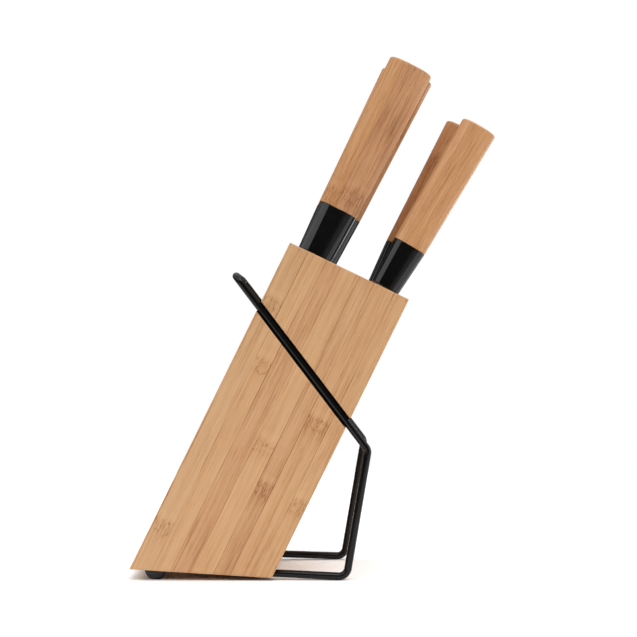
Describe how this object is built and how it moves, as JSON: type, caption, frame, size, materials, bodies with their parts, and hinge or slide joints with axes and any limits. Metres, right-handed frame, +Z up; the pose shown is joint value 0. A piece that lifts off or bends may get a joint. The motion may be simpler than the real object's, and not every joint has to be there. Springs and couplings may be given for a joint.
{
  "type": "knife block with knives",
  "caption": "Slanted bamboo knife block held on a bent-wire stand and rubber feet, with bamboo-handled kitchen knives that pull out of its slots.",
  "frame": {"origin": "on the table, under the middle of the object's bounding box", "axes": "+Z up, +X from the block's front face to its back, the way the block and handles lean, +Y to the left seen from the front"},
  "size_m": [0.2398, 0.09, 0.3468],
  "materials": {
    "bamboo_block": "satin oiled laminated bamboo, vertical staves",
    "bamboo_grip": "satin oiled bamboo, slightly darker and warmer than the block",
    "stand_wire": "satin black powder coat",
    "foot_rubber": "matte black",
    "ferrule_black": "glossy black",
    "blade_steel": "fine brushed along the blade's width"
  },
  "bodies": {
    "block": {"side_board_right": "bamboo_block", "side_board_left": "bamboo_block", "inner_board_right": "bamboo_block", "inner_board_left": "bamboo_block", "front_strip_right": "bamboo_block", "front_strip_centre": "bamboo_block", "front_strip_left": "bamboo_block", "divider_strip_right": "bamboo_block", "divider_strip_left": "bamboo_block", "rear_strip_right": "bamboo_block", "rear_strip_centre": "bamboo_block", "rear_strip_left": "bamboo_block", "slot_floor_right": "bamboo_block", "slot_floor_centre": "bamboo_block", "slot_floor_left": "bamboo_block", "small_slot_floor_right": "bamboo_block", "small_slot_floor_left": "bamboo_block", "wire_stand": "stand_wire", "foot_right": "foot_rubber", "foot_left": "foot_rubber"},
    "chef_knife": {"chef_blade": "blade_steel", "chef_ferrule": "ferrule_black", "chef_handle": "bamboo_grip"},
    "bread_knife": {"bread_blade": "blade_steel", "bread_ferrule": "ferrule_black", "bread_handle": "bamboo_grip"},
    "carving_knife": {"carving_blade": "blade_steel", "carving_ferrule": "ferrule_black", "carving_handle": "bamboo_grip"},
    "utility_knife": {"utility_blade": "blade_steel", "utility_ferrule": "ferrule_black", "utility_handle": "bamboo_grip"},
    "paring_knife": {"paring_blade": "blade_steel", "paring_ferrule": "ferrule_black", "paring_handle": "bamboo_grip"}
  },
  "joints": [
    {"name": "chef_knife_pull", "type": "slide", "parent": "block", "child": "chef_knife", "axis": [0.4493, 0, 0.8934], "range_m": [0, 0.215]},
    {"name": "bread_knife_pull", "type": "slide", "parent": "block", "child": "bread_knife", "axis": [0.4524, 0, 0.8918], "range_m": [0, 0.215]},
    {"name": "carving_knife_pull", "type": "slide", "parent": "block", "child": "carving_knife", "axis": [0.4446, 0, 0.8957], "range_m": [0, 0.215]},
    {"name": "utility_knife_pull", "type": "slide", "parent": "block", "child": "utility_knife", "axis": [0.4587, 0, 0.8886], "range_m": [0, 0.14]},
    {"name": "paring_knife_pull", "type": "slide", "parent": "block", "child": "paring_knife", "axis": [0.5075, 0, 0.8616], "range_m": [0, 0.105]}
  ]
}
